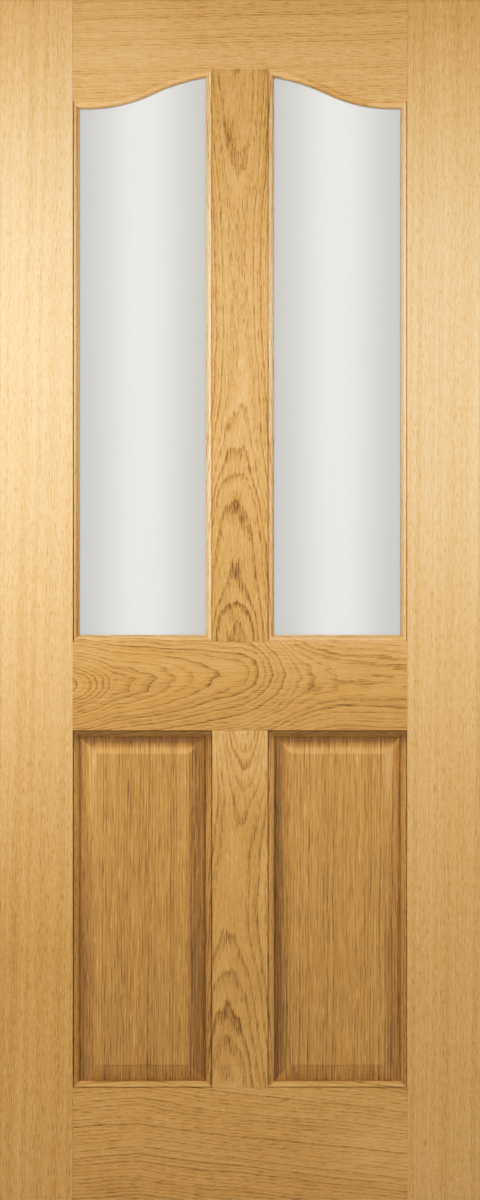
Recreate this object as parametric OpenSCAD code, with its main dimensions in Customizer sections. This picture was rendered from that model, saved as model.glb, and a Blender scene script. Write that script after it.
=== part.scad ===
// Oak door with two swept lights over two raised panels, hung on butt hinges in a plain oak lining.
// The leaf is drawn on its face: first axis to the right, second axis up, third axis towards the viewer.

/* [Leaf] */
// Width of the leaf
leaf_w = 813; // [762:1:900]
// Height of the leaf
leaf_h = 2032; // [1950:1:2140]
// Thickness of the leaf
leaf_t = 35; // [34:1:44]

/* [Stiles, rails and muntins] */
// Face width of a stile, up to its moulding
stile_w = 123.5; // [105:0.5:135]
// Face width of a muntin, between its mouldings
muntin_w = 94; // [70:1:110]
// Face height of the top rail beside a stile
top_rail_h = 172; // [160:0.5:205]
// Height of the lock rail's lower face edge above the foot of the leaf
lock_rail_z = 795; // [740:1:860]
// Face height of the lock rail
lock_rail_h = 151; // [120:1:190]
// Face height of the bottom rail
bottom_rail_h = 190; // [150:1:230]

/* [Swept lights] */
// Radius of the crown over the muntin, at the sight line
crown_r = 345; // [280:5:400]
// Radius of the reverse sweep towards a stile, at the sight line
sweep_r = 255; // [200:5:300]
// Level run between the sweep and the stile, at the sight line
level_run = 14.5; // [10:0.5:35]

/* [Moulding] */
// Width of the moulding between the face and the sight line
stick_w = 10.5; // [9:0.5:14]
// Depth of the lip that carries the moulding
lip_d = 12.5; // [11:0.5:13.5]
// Radius of the quarter round
ovolo_r = 8; // [5:0.5:9]
// Depth of the quarter round's crest below the face
crest_d = 1.5; // [1:0.25:2]
// Depth of the quirk beside the face
quirk_d = 2.5; // [2:0.25:4]
// Width of the quirk
quirk_w = 1.4; // [0.8:0.1:2]
// Width of the broken edge along the face
arris = 0.6; // [0.3:0.1:1]

/* [Panels] */
// Depth of a panel's field below the face of the leaf
field_drop = 3; // [1:0.5:5]
// Width of the bevel between the sight line and the field
bevel_w = 28; // [18:1:40]
// Height of the step round the field
field_step = 0.8; // [0.4:0.1:1.5]
// Clearance of a panel's tongue in its groove, each side
tongue_fit = 0.3; // [0.1:0.1:0.6]
// Room for a panel to swell past its sides and its top
swell_gap = 2; // [1:0.5:4]

/* [Glazing] */
// Thickness of the glass
glass_t = 6; // [4:1:8]
// Room round the edge of the glass, filled by the setting blocks below it
glass_gap = 2.5; // [1.5:0.5:4]
// Thickness of the glazing tape between the lip and the glass
tape_t = 1; // [0.5:0.25:2]
// Distance of the tape from the sight line
tape_inset = 2; // [1:0.5:4]
// Length of a setting block
block_l = 50; // [30:5:80]
// Distance of a setting block from the end of the glass
block_in = 25; // [10:5:50]
// Clearance of a glazing bead in its rebate
bead_fit = 0.2; // [0.1:0.1:0.4]

/* [Dowels] */
// Diameter of a dowel
dowel_d = 10; // [8:1:14]
// Length of a dowel
dowel_l = 80; // [60:5:120]
// Clearance round a dowel
dowel_fit = 0.1; // [0.05:0.05:0.2]
// Room for glue past each end of a dowel
dowel_end = 2; // [1:0.5:4]
// Distance of a rail's dowels from its edges
dowel_edge = 42; // [30:1:50]
// Distance of a muntin's dowels from its middle
dowel_off = 22; // [15:1:28]

/* [Lining] */
// Thickness of the jambs and the head
lining_t = 30; // [25:1:38]
// Depth of the lining through the wall
lining_d = 133; // [108:1:160]
// Gap between the leaf and each jamb
side_gap = 3; // [2.5:0.5:4]
// Gap between the leaf and the head
top_gap = 3; // [2:0.5:5]
// Gap below the leaf
floor_gap = 5; // [3:1:15]
// Depth of the head's rebate over a jamb
housing_d = 10; // [6:1:14]
// Thickness of the door stops
stop_t = 12; // [10:1:15]
// Width of the door stops
stop_w = 32; // [25:1:45]
// Gap between the leaf and the stops
stop_gap = 1.5; // [1:0.5:3]

/* [Wall fixings] */
// Diameter of a fixing hole through a jamb
fix_d = 5.5; // [4.5:0.5:8]
// Depth of the countersink of a fixing hole
fix_sink = 3; // [2:0.5:4]
// Number of fixing holes in a jamb
fix_count = 4; // [2:1:6]
// Distance of the end holes from the floor and from the head
fix_end = 150; // [80:10:250]
// Distance of the fixing holes from the back edge of the lining
fix_back = 32; // [15:1:45]

/* [Hinges] */
// Length of a hinge
hinge_l = 76; // [60:1:102]
// Width of a hinge plate on the wood
plate_w = 25; // [20:1:30]
// Thickness of a hinge plate
plate_t = 2; // [1.5:0.25:2.25]
// Radius of the knuckles
knuckle_r = 4.5; // [4:0.25:6]
// Gap between knuckles, and between the knuckles and the wood
knuckle_gap = 0.3; // [0.2:0.1:0.6]
// Number of knuckles
knuckle_count = 5; // [3:2:7]
// Diameter of the hinge pin
pin_d = 5; // [4:0.5:6]
// Running clearance round the pin
pin_fit = 0.05; // [0.02:0.01:0.1]
// Height of the button on each end of the pin
button_h = 2.4; // [1.5:0.1:4]
// Distance of the top hinge from the top of the leaf
hinge_head = 150; // [120:5:200]
// Distance of the bottom hinge from the foot of the leaf
hinge_foot = 225; // [180:5:260]

/* [Screws] */
// Diameter of a screw's shank
screw_d = 4; // [3:0.25:4.5]
// Length of a hinge screw
screw_l = 25; // [18:1:28]
// Length of a screw through the head of the lining
head_screw_l = 60; // [45:5:80]
// Number of screws in a hinge plate
screw_count = 3; // [2:1:4]
// Distance of the end screws from the end of a hinge plate
screw_end = 14; // [9:1:18]
// Distance that a plate's screws zigzag to each side of its middle
screw_zigzag = 4; // [0:0.5:6]
// Distance of the head's screws from the lining's front and back edges
head_screw_in = 30; // [20:1:40]
// Clearance round a screw
screw_fit = 0.1; // [0.05:0.05:0.2]
// Width of the slot in a screw's head
slot_w = 1; // [0.6:0.1:1.4]

/* [Hidden] */
$fn = 96;

// Cutters run this far past the wood
over = 1;

// Sideways: a member's core ends at the face edge, and its lip at the sight line
core_in = muntin_w / 2;
core_out = leaf_w / 2 - stile_w;
sight_in = core_in + stick_w;
sight_out = core_out - stick_w;
sight_w = sight_out - sight_in;

// Upwards from the foot of the leaf
lock_top = lock_rail_z + lock_rail_h;
sill_v = lock_top + stick_w;
spring_v = leaf_h - top_rail_h - stick_w;
panel_foot = bottom_rail_h + stick_w;
panel_head = lock_rail_z - stick_w;
back_lip_top = lock_rail_z + lock_rail_h / 2;

// The swept sight line, from the spring level beside the stile: a level run, a reverse arc and a crown
arch_run = sight_out - level_run;
arch_rise = crown_r + sweep_r - sqrt(pow(crown_r + sweep_r, 2) - pow(arch_run, 2));
crown_c = [0, arch_rise - crown_r];
sweep_c = [arch_run, sweep_r];
arch_low = sill_v - spring_v - stick_w - over;
seat_rise = crown_c.y + sqrt(pow(crown_r + stick_w, 2) - pow(core_in, 2));
seat_v = spring_v + seat_rise;

// Into the leaf
ovolo = min(ovolo_r, stick_w - quirk_w - arris, lip_d - crest_d - arris);
ovolo_c = [stick_w - quirk_w, -crest_d - ovolo];
cope_d = crest_d / 2;
tongue_d = lip_d + tongue_fit;
glass_d = lip_d + tape_t;
bead_d = leaf_t - glass_d - glass_t;

// The lining stands on the floor, and its middle is over the origin
pin_off = knuckle_r + knuckle_gap;
front_y = (pin_off + knuckle_r - lining_d) / 2;
jamb_in = leaf_w / 2 + side_gap;
head_z = floor_gap + leaf_h + top_gap;
stop_y = front_y + leaf_t + stop_gap;
fix_y = front_y + lining_d - fix_back;
fix_pitch = (head_z - 2 * fix_end) / (fix_count - 1);

// Hinges: a leaf's plate lies on its edge, a jamb's is let in, and the knuckles stand clear of the leaf
pin_x = -leaf_w / 2 - knuckle_r;
leaf_plate_u = knuckle_r - plate_t;
jamb_plate_u = side_gap - knuckle_r;
pin_y = front_y - pin_off;
bottom_hinge_z = floor_gap + hinge_foot;
top_hinge_z = floor_gap + leaf_h - hinge_head - hinge_l;
hinge_zs = [bottom_hinge_z, (bottom_hinge_z + top_hinge_z) / 2, top_hinge_z];
knuckle_pitch = (hinge_l + knuckle_gap) / knuckle_count;
frame_knuckles = [0:2:knuckle_count - 1];
leaf_knuckles = [1:2:knuckle_count - 1];
screw_pitch = (hinge_l - 2 * screw_end) / (screw_count - 1);

rail_dowel_vs = [
    dowel_edge, bottom_rail_h - dowel_edge, lock_rail_z + dowel_edge, lock_top - dowel_edge,
    leaf_h - top_rail_h + dowel_edge, leaf_h - dowel_edge
];
muntin_dowel_vs = [bottom_rail_h, lock_rail_z, lock_top, seat_v];

light_oak = "#E3BA7C";
mid_oak = "#CF9C58";
dark_oak = "#B98747";
satin_glass = "#E4E4DF";
black_foam = "#3A3A3A";
beech = "#DDBB8C";
satin_steel = "#B9BABD";

// Places what is drawn on the leaf's face into the lining
module on_face() {
    translate([0, front_y, floor_gap]) rotate([90, 0, 0]) children();
}

module both_sides() {
    children();
    mirror([1, 0, 0]) children();
}

module both_faces() {
    children();
    translate([0, 0, -leaf_t]) mirror([0, 0, 1]) children();
}

// Gives a flat outline the depth between two distances below the face
module slab(near_d, far_d) {
    translate([0, 0, -far_d]) linear_extrude(far_d - near_d) children();
}

// Carries a section to the right. A section's first axis leads away from the opening and its second axis
// leads towards the viewer.
module run_right(l) {
    rotate([90, 0, 90]) linear_extrude(l) children();
}

// Carries a section down the right-hand edge of an opening
module run_down(l) {
    rotate([0, 0, -90]) run_right(l) children();
}

// Carries a section along the swept edge of the right-hand light, between two distances from the middle
module run_swept(near_u, far_u) {
    intersection() {
        translate(crown_c) rotate_extrude() translate([crown_r, 0]) children();
        slab(-over, leaf_t + over) intersection() {
            polygon([crown_c, sweep_c, [0, sweep_c.y]]);
            translate([near_u, crown_c.y]) square([arch_run, crown_r + sweep_r]);
        }
    }
    intersection() {
        translate(sweep_c) rotate_extrude() translate([sweep_r, 0]) mirror([1, 0]) children();
        slab(-over, leaf_t + over) polygon([sweep_c, crown_c, [arch_run, crown_c.y]]);
    }
    translate([arch_run, 0, 0]) run_right(far_u - arch_run) children();
}

// What the moulding cutter takes from the corner of a face: a broken edge, a quirk and a quarter round
module moulding_cut(floor_d = quirk_d) {
    difference() {
        polygon([
            [-over, over], [-over, ovolo_c.y], [stick_w, ovolo_c.y], [stick_w, -arris],
            [stick_w + arris + over, over]
        ]);
        translate([ovolo_c.x, -lip_d]) square([quirk_w + over, lip_d - floor_d]);
        intersection() {
            translate(ovolo_c) circle(ovolo);
            translate([ovolo_c.x - ovolo - over, -lip_d]) square([ovolo + over, lip_d]);
        }
    }
}

// The moulded lip that is left, of a given depth, and longer or shorter at its root
module lip_section(d, root = 0, floor_d = quirk_d) {
    difference() {
        translate([0, -d]) square([stick_w + root, d]);
        moulding_cut(floor_d);
    }
}

// What a cope takes from the end of a member that is fitted over a lip: it bridges the lip's quirk
module cope_section() {
    lip_section(lip_d, over, cope_d);
}

// The moulding of both faces and the groove between their lips
module grooved_edge_cut() {
    moulding_cut();
    translate([0, -leaf_t]) mirror([0, 1]) moulding_cut();
    translate([-over, lip_d - leaf_t]) square([stick_w + over, leaf_t - 2 * lip_d]);
}

// What the rebate for glass takes from a grooved edge: the lip behind it
module rebate_cut() {
    translate([-over, -leaf_t - over]) square([stick_w + over, leaf_t - lip_d + over]);
}

// A glazing bead repeats the lip at the back of the leaf
module bead_section() {
    translate([0, -leaf_t]) mirror([0, 1]) lip_section(bead_d, -bead_fit);
}

// What a cope takes from the end of an upright bead
module bead_cope_section() {
    translate([0, -leaf_t]) mirror([0, 1]) lip_section(bead_d, over, cope_d);
}

// What lies below the swept line, to the right of the middle, with the line moved up by a margin
module below_sweep(margin) {
    turn_u = arch_run * (crown_r + margin) / (crown_r + sweep_r);
    difference() {
        polygon([[0, arch_low], [arch_run, arch_low], sweep_c, crown_c]);
        translate(sweep_c) circle(sweep_r - margin);
    }
    intersection() {
        translate(crown_c) circle(crown_r + margin);
        translate([0, arch_low]) square([turn_u, sweep_c.y - arch_low]);
    }
    translate([arch_run, arch_low]) square([core_out + over - arch_run, margin - arch_low]);
}

// The same, without what lies over the muntin
module beside_muntin(margin) {
    intersection() {
        below_sweep(margin);
        translate([core_in, arch_low]) square([core_out, sweep_c.y - arch_low]);
    }
}

// Outline of the right-hand light at a margin outside the sight line
module light_outline(margin) {
    intersection() {
        below_sweep(margin);
        translate([sight_in - margin, sill_v - spring_v - margin])
            square([sight_w + 2 * margin, leaf_h - sill_v]);
    }
}

// Lips of both stiles, as the rails are coped over them
module stile_lips() {
    both_sides() {
        translate([sight_out, leaf_h + over, 0]) run_down(leaf_h + 2 * over) cope_section();
        translate([0, 0, -leaf_t]) mirror([0, 0, 1]) translate([sight_out, back_lip_top, 0])
            run_down(back_lip_top + over) cope_section();
    }
}

// A rail's lips above or below a panel, as the lower muntin is coped over them
module rail_lip() {
    both_faces() translate([-core_out, 0, 0]) run_right(2 * core_out) cope_section();
}

module rail_dowel_set(grow_r, grow_l) {
    both_sides() for (v = rail_dowel_vs)
        translate([core_out - dowel_l / 2 - grow_l, v, -leaf_t / 2]) rotate([0, 90, 0])
            cylinder(d = dowel_d + 2 * grow_r, h = dowel_l + 2 * grow_l);
}

module muntin_dowel_set(grow_r, grow_l) {
    both_sides() for (v = muntin_dowel_vs)
        translate([dowel_off, v - dowel_l / 2 - grow_l, -leaf_t / 2]) rotate([-90, 0, 0])
            cylinder(d = dowel_d + 2 * grow_r, h = dowel_l + 2 * grow_l);
}

module rail_dowel_holes() {
    rail_dowel_set(dowel_fit, dowel_end);
}

module muntin_dowel_holes() {
    muntin_dowel_set(dowel_fit, dowel_end);
}

// Right-hand stile: grooved for its panel, and rebated for the glass above the lock rail
module stile_shape() {
    difference() {
        translate([sight_out, 0, -leaf_t]) cube([stile_w + stick_w, leaf_h, leaf_t]);
        translate([sight_out, leaf_h + over, 0]) run_down(leaf_h + 2 * over) grooved_edge_cut();
        translate([sight_out, leaf_h + over, 0]) run_down(leaf_h + over - back_lip_top) rebate_cut();
        rail_dowel_holes();
    }
}

// Top rail: swept over the lights, with a level seat for the muntin
module top_rail_shape(floor_d = quirk_d) {
    translate([0, spring_v, 0]) difference() {
        slab(0, leaf_t) difference() {
            translate([-core_out, -over]) square([2 * core_out, top_rail_h + stick_w + over]);
            both_sides() beside_muntin(0);
            translate([-core_in, -2 * over]) square([muntin_w, seat_rise + 2 * over]);
        }
        both_sides() slab(lip_d, leaf_t + over) beside_muntin(stick_w);
        both_sides() run_swept(core_in, core_out + over) moulding_cut(floor_d);
    }
}

module top_rail() {
    color(mid_oak) on_face() difference() {
        top_rail_shape();
        stile_lips();
        rail_dowel_holes();
        muntin_dowel_holes();
    }
}

module lock_rail() {
    color(mid_oak) on_face() difference() {
        translate([-core_out, panel_head, -leaf_t]) cube([2 * core_out, sill_v - panel_head, leaf_t]);
        translate([-core_out - over, panel_head, 0]) run_right(2 * (core_out + over)) grooved_edge_cut();
        translate([-core_out - over, sill_v, 0]) mirror([0, 1, 0]) run_right(2 * (core_out + over)) {
            grooved_edge_cut();
            rebate_cut();
        }
        stile_lips();
        rail_dowel_holes();
        muntin_dowel_holes();
    }
}

module bottom_rail() {
    color(dark_oak) on_face() difference() {
        translate([-core_out, 0, -leaf_t]) cube([2 * core_out, panel_foot, leaf_t]);
        translate([-core_out - over, panel_foot, 0]) mirror([0, 1, 0])
            run_right(2 * (core_out + over)) grooved_edge_cut();
        stile_lips();
        rail_dowel_holes();
        muntin_dowel_holes();
    }
}

module hinge_stile() {
    color(light_oak) difference() {
        on_face() mirror([1, 0, 0]) stile_shape();
        at_hinges() plate_screws(leaf_plate_u, screw_fit);
    }
}

module closing_stile() {
    color(light_oak) on_face() stile_shape();
}

// Upper muntin: rebated for glass on both sides, and coped over the rails' lips
module upper_muntin() {
    color(mid_oak) on_face() difference() {
        translate([-sight_in, lock_top, -leaf_t]) cube([2 * sight_in, seat_v + over - lock_top, leaf_t]);
        both_sides() translate([-sight_in, leaf_h, 0]) run_down(leaf_h - lock_top + over) {
            grooved_edge_cut();
            rebate_cut();
        }
        top_rail_shape(cope_d);
        translate([-core_out, sill_v, 0]) mirror([0, 1, 0]) run_right(2 * core_out) cope_section();
        muntin_dowel_holes();
    }
}

// Lower muntin: grooved for a panel on both sides, and coped over the rails' lips
module lower_muntin() {
    color(dark_oak) on_face() difference() {
        translate([-sight_in, bottom_rail_h, -leaf_t])
            cube([2 * sight_in, lock_rail_z - bottom_rail_h, leaf_t]);
        both_sides() translate([-sight_in, lock_rail_z + over, 0])
            run_down(lock_rail_z - bottom_rail_h + 2 * over) grooved_edge_cut();
        translate([0, panel_head, 0]) rail_lip();
        translate([0, panel_foot, 0]) mirror([0, 1, 0]) rail_lip();
        muntin_dowel_holes();
    }
}

// Section of a raised panel across a sight size, with the reach of its tongue at each end
module panel_section(sight, near_tongue, far_tongue) {
    step_d = field_drop + field_step;
    face = [
        [-near_tongue, -tongue_d], [0, -tongue_d], [bevel_w, -step_d], [bevel_w, -field_drop],
        [sight - bevel_w, -field_drop], [sight - bevel_w, -step_d], [sight, -tongue_d],
        [sight + far_tongue, -tongue_d]
    ];
    back = [for (i = [len(face) - 1:-1:0]) [face[i].x, -leaf_t - face[i].y]];
    polygon(concat(face, back));
}

// Right-hand panel: its bevels meet in mitres, and its foot stands in the bottom rail's groove
module panel_shape() {
    tongue = stick_w - swell_gap;
    panel_h = panel_head - panel_foot;
    intersection() {
        translate([sight_in, lock_rail_z, 0]) rotate([90, 0, 0])
            linear_extrude(lock_rail_z - bottom_rail_h) panel_section(sight_w, tongue, tongue);
        translate([core_in, panel_foot, 0])
            run_right(core_out - core_in) panel_section(panel_h, stick_w, tongue);
    }
}

module left_panel() {
    color(dark_oak) on_face() mirror([1, 0, 0]) panel_shape();
}

module right_panel() {
    color(dark_oak) on_face() panel_shape();
}

// Right-hand pane
module glass_shape() {
    translate([0, spring_v, 0]) slab(glass_d, glass_d + glass_t) light_outline(stick_w - glass_gap);
}

module left_glass() {
    color(satin_glass) on_face() mirror([1, 0, 0]) glass_shape();
}

module right_glass() {
    color(satin_glass) on_face() glass_shape();
}

// Tape round the right-hand pane, on the back of the lip
module tape_shape() {
    translate([0, spring_v, 0]) slab(lip_d, glass_d) difference() {
        light_outline(stick_w - glass_gap);
        light_outline(tape_inset);
    }
}

module left_glazing_tape() {
    color(black_foam) on_face() mirror([1, 0, 0]) tape_shape();
}

module right_glazing_tape() {
    color(black_foam) on_face() tape_shape();
}

module setting_blocks() {
    glass_in = core_in + glass_gap;
    glass_out = core_out - glass_gap;
    color(black_foam) on_face() both_sides()
        for (u = [glass_in + block_in, glass_out - block_in - block_l])
            translate([u, lock_top, -glass_d - glass_t]) cube([block_l, glass_gap, glass_t]);
}

// Beads of the right-hand light
module top_bead_shape() {
    translate([0, spring_v, 0]) run_swept(core_in + bead_fit, core_out - bead_fit) bead_section();
}

module foot_bead_shape() {
    translate([core_in + bead_fit, sill_v, 0]) mirror([0, 1, 0])
        run_right(core_out - core_in - 2 * bead_fit) bead_section();
}

// An upright bead is coped over the beads above and below it
module upright_bead_shape() {
    difference() {
        intersection() {
            children();
            translate([0, spring_v, 0]) slab(glass_d, leaf_t + over) light_outline(stick_w - bead_fit);
        }
        translate([0, spring_v, 0]) run_swept(core_in, core_out) bead_cope_section();
        translate([core_in, sill_v, 0]) mirror([0, 1, 0]) run_right(core_out - core_in) bead_cope_section();
    }
}

module outer_bead_shape() {
    upright_bead_shape() translate([sight_out, leaf_h, 0]) run_down(leaf_h - lock_top) bead_section();
}

module inner_bead_shape() {
    upright_bead_shape() translate([sight_in, leaf_h, 0]) mirror([1, 0, 0])
        run_down(leaf_h - lock_top) bead_section();
}

module left_top_bead() {
    color(mid_oak) on_face() mirror([1, 0, 0]) top_bead_shape();
}

module left_foot_bead() {
    color(mid_oak) on_face() mirror([1, 0, 0]) foot_bead_shape();
}

module left_outer_bead() {
    color(mid_oak) on_face() mirror([1, 0, 0]) outer_bead_shape();
}

module left_inner_bead() {
    color(mid_oak) on_face() mirror([1, 0, 0]) inner_bead_shape();
}

module right_top_bead() {
    color(mid_oak) on_face() top_bead_shape();
}

module right_foot_bead() {
    color(mid_oak) on_face() foot_bead_shape();
}

module right_outer_bead() {
    color(mid_oak) on_face() outer_bead_shape();
}

module right_inner_bead() {
    color(mid_oak) on_face() inner_bead_shape();
}

module rail_dowels() {
    color(beech) on_face() rail_dowel_set(0, 0);
}

module muntin_dowels() {
    color(beech) on_face() muntin_dowel_set(0, 0);
}

// Puts what belongs to a hinge on each hinge's pin, from the foot of the hinge
module at_hinges() {
    for (z = hinge_zs)
        translate([pin_x, pin_y, z]) children();
}

// Recess for a jamb's plate, to the right of the pin until it is mirrored
module plate_recess() {
    translate([jamb_plate_u - over, pin_off - over, 0]) cube([plate_t + over, plate_w + over, hinge_l]);
}

// A countersunk screw along the third axis, with its head's face at the origin
module screw(l, fit = 0) {
    sink = screw_d / 2;
    cylinder(r1 = screw_d + fit, r2 = screw_d / 2 + fit, h = sink);
    cylinder(d = screw_d + 2 * fit, h = l - screw_d + fit);
    translate([0, 0, l - screw_d + fit]) cylinder(d1 = screw_d + 2 * fit, d2 = fit, h = screw_d);
}

module slotted_screw(l) {
    difference() {
        screw(l);
        translate([-screw_d - over, -slot_w / 2, -over])
            cube([2 * (screw_d + over), slot_w, slot_w / 2 + over]);
    }
}

// Where the screws of a plate stand, whose near face is a distance to the right of the pin
module at_plate_screws(near_u) {
    for (i = [0:screw_count - 1])
        translate([
            near_u,
            pin_off + plate_w / 2 + screw_zigzag * (i % 2 == 0 ? 1 : -1),
            screw_end + i * screw_pitch
        ]) rotate([0, 90, 0]) children();
}

module plate_screws(near_u, fit) {
    at_plate_screws(near_u) screw(screw_l, fit);
}

// Hinge plate, whose near face is a distance to the right of the pin, with the knuckles that it carries
module hinge_plate(near_u, knuckles) {
    difference() {
        union() {
            translate([near_u, pin_off, 0]) cube([plate_t, plate_w, hinge_l]);
            for (i = knuckles)
                translate([0, 0, i * knuckle_pitch]) {
                    cylinder(r = knuckle_r, h = knuckle_pitch - knuckle_gap);
                    translate([near_u, 0, 0])
                        cube([plate_t, pin_off + plate_t, knuckle_pitch - knuckle_gap]);
                }
        }
        translate([0, 0, -over]) cylinder(r = pin_d / 2 + pin_fit, h = hinge_l + 2 * over);
        plate_screws(near_u, screw_fit);
    }
}

module hinge_pin() {
    cylinder(d = pin_d, h = hinge_l);
    for (z = [0, hinge_l])
        translate([0, 0, z]) mirror([0, 0, z == 0 ? 1 : 0]) {
            cylinder(r = knuckle_r, h = button_h / 2);
            translate([0, 0, button_h / 2]) cylinder(r1 = knuckle_r, r2 = knuckle_r / 2, h = button_h / 2);
        }
}

module leaf_plate(z) {
    color(satin_steel) translate([pin_x, pin_y, z]) hinge_plate(leaf_plate_u, leaf_knuckles);
}

module frame_plate(z) {
    color(satin_steel) translate([pin_x, pin_y, z]) mirror([1, 0, 0])
        hinge_plate(jamb_plate_u, frame_knuckles);
}

module placed_pin(z) {
    color(satin_steel) translate([pin_x, pin_y, z]) hinge_pin();
}

module bottom_hinge_leaf_plate() {
    leaf_plate(hinge_zs[0]);
}

module middle_hinge_leaf_plate() {
    leaf_plate(hinge_zs[1]);
}

module top_hinge_leaf_plate() {
    leaf_plate(hinge_zs[2]);
}

module bottom_hinge_frame_plate() {
    frame_plate(hinge_zs[0]);
}

module middle_hinge_frame_plate() {
    frame_plate(hinge_zs[1]);
}

module top_hinge_frame_plate() {
    frame_plate(hinge_zs[2]);
}

module bottom_hinge_pin() {
    placed_pin(hinge_zs[0]);
}

module middle_hinge_pin() {
    placed_pin(hinge_zs[1]);
}

module top_hinge_pin() {
    placed_pin(hinge_zs[2]);
}

module leaf_hinge_screws() {
    color(satin_steel) at_hinges() at_plate_screws(leaf_plate_u) slotted_screw(screw_l);
}

module frame_hinge_screws() {
    color(satin_steel) at_hinges() mirror([1, 0, 0])
        at_plate_screws(jamb_plate_u) slotted_screw(screw_l);
}

// The head's screws go down through its rebates into the tops of the jambs
module at_head_screws() {
    both_sides() for (y = [head_screw_in, lining_d - head_screw_in])
        translate([jamb_in + lining_t / 2, front_y + y, head_z + lining_t]) rotate([180, 0, 0]) children();
}

module head_screws() {
    color(satin_steel) at_head_screws() slotted_screw(head_screw_l);
}

// Right-hand jamb, drilled behind its stop for the wall fixings
module jamb_shape() {
    difference() {
        translate([jamb_in, front_y, 0]) cube([lining_t, lining_d, head_z + housing_d]);
        for (i = [0:fix_count - 1])
            translate([jamb_in, fix_y, fix_end + i * fix_pitch]) rotate([0, 90, 0]) {
                translate([0, 0, -over]) cylinder(d = fix_d, h = lining_t + 2 * over);
                cylinder(d1 = fix_d + 2 * fix_sink, d2 = fix_d, h = fix_sink);
            }
        at_head_screws() screw(head_screw_l, screw_fit);
    }
}

module hinge_jamb() {
    color(light_oak) difference() {
        mirror([1, 0, 0]) jamb_shape();
        at_hinges() mirror([1, 0, 0]) {
            plate_recess();
            plate_screws(jamb_plate_u, screw_fit);
        }
    }
}

module closing_jamb() {
    color(light_oak) jamb_shape();
}

module head_jamb() {
    head_l = 2 * (jamb_in + lining_t);
    color(light_oak) difference() {
        translate([-head_l / 2, front_y, head_z]) cube([head_l, lining_d, lining_t]);
        both_sides() translate([jamb_in, front_y - over, head_z - over])
            cube([lining_t + over, lining_d + 2 * over, housing_d + over]);
        at_head_screws() screw(head_screw_l, screw_fit);
    }
}

// Right-hand door stop, under the stop on the head
module stop_shape() {
    translate([jamb_in - stop_t, stop_y, 0]) cube([stop_t, stop_w, head_z - stop_t]);
}

module hinge_stop() {
    color(light_oak) mirror([1, 0, 0]) stop_shape();
}

module closing_stop() {
    color(light_oak) stop_shape();
}

module head_stop() {
    color(light_oak) translate([-jamb_in, stop_y, head_z - stop_t]) cube([2 * jamb_in, stop_w, stop_t]);
}

hinge_stile();
closing_stile();
top_rail();
lock_rail();
bottom_rail();
upper_muntin();
lower_muntin();
left_panel();
right_panel();
left_glass();
right_glass();
left_glazing_tape();
right_glazing_tape();
setting_blocks();
left_top_bead();
left_foot_bead();
left_outer_bead();
left_inner_bead();
right_top_bead();
right_foot_bead();
right_outer_bead();
right_inner_bead();
rail_dowels();
muntin_dowels();
top_hinge_leaf_plate();
middle_hinge_leaf_plate();
bottom_hinge_leaf_plate();
leaf_hinge_screws();
hinge_jamb();
closing_jamb();
head_jamb();
hinge_stop();
closing_stop();
head_stop();
head_screws();
top_hinge_frame_plate();
middle_hinge_frame_plate();
bottom_hinge_frame_plate();
top_hinge_pin();
middle_hinge_pin();
bottom_hinge_pin();
frame_hinge_screws();
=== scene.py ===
"""Looks of the oak door with two swept lights: finishes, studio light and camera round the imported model."""

import logging
import math
from dataclasses import dataclass, replace
from enum import Enum
from typing import Optional, Protocol, Sequence, Union

import bpy
import numpy as np
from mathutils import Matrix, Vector

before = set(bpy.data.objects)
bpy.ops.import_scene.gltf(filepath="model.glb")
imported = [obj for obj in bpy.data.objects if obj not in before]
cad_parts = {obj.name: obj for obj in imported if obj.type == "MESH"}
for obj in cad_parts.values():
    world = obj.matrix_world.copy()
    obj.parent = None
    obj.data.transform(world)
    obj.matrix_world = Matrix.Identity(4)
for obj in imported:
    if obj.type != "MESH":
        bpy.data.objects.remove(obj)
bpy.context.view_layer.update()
LOG = logging.getLogger("oak_door")

Colour = tuple[float, float, float]
Point = tuple[float, float, float]
Span = tuple[float, float]
Stops = tuple[Span, ...]
Ramp = Sequence[tuple[float, Colour]]
Value = Union["Sock", float]

MM = 1000.0
# How far a mask takes to fade out, in millimetres.
SOFT = 1.0
# The least span that is divided by.
TINY = 1e-6
# The mean of a noise.
MEAN = 0.5
WHITE = (1.0, 1.0, 1.0, 1.0)


def srgb(red: int, green: int, blue: int) -> Colour:
    """Turns a colour as seen on a screen into a linear one.

    Args:
        red: red, from 0 to 255.
        green: green, from 0 to 255.
        blue: blue, from 0 to 255.

    Returns:
        The linear colour.
    """
    shares = np.array([red, green, blue]) / 255.0
    linear = np.where(shares <= 0.04045, shares / 12.92, ((shares + 0.055) / 1.055) ** 2.4)
    return float(linear[0]), float(linear[1]), float(linear[2])


class Grain(Enum):
    """The way in which the fibres of a member run."""

    UPRIGHT = "z"
    LEVEL = "x"


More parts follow.
